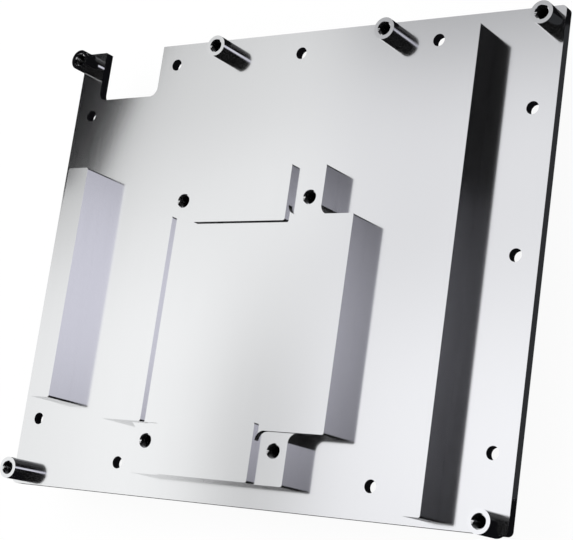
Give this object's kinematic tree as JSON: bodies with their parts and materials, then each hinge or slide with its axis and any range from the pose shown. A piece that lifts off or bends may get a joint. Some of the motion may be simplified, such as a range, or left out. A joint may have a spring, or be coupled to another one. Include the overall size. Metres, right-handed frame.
{
  "type": "gpu water block",
  "caption": "Liquid cooling block for a graphics card: nickel-plated cold plate with raised contact pads and tapped card posts, backed by a black cover with tapped ports.",
  "frame": {"origin": "centre of the block's outline at the cover's outer face, which it rests on", "axes": "+X along the plate's long side towards the bar, +Y towards the notched edge, +Z from the cover to the contact pads"},
  "size_m": [0.1216, 0.1006, 0.0217],
  "materials": {
    "nickel_plated_copper": "bright nickel plating, slightly satin",
    "nickel_plated_brass": "bright nickel plating",
    "stainless_steel": "rolled sheet",
    "screw_steel": "turned stainless",
    "seal_rubber": "moulded",
    "black_acetal": "milled, fine satin"
  },
  "bodies": {
    "root": {"cold_plate": "nickel_plated_copper", "jet_plate": "stainless_steel", "cover_seal": "seal_rubber", "top_cover": "black_acetal", "post_top_left": "nickel_plated_brass", "post_top_middle_left": "nickel_plated_brass", "post_top_middle_right": "nickel_plated_brass", "post_top_right": "nickel_plated_brass", "post_bottom_left": "nickel_plated_brass", "post_bottom_right": "nickel_plated_brass", "cover_screw_side_low": "screw_steel", "cover_screw_side_middle": "screw_steel", "cover_screw_side_high": "screw_steel", "cover_screw_bar_first": "screw_steel", "cover_screw_bar_second": "screw_steel", "cover_screw_bar_third": "screw_steel", "cover_screw_bar_fourth": "screw_steel", "cover_screw_ear_low_left": "screw_steel", "cover_screw_ear_low_right": "screw_steel", "cover_screw_ear_high_left": "screw_steel", "cover_screw_ear_high_right": "screw_steel"}
  },
  "joints": []
}
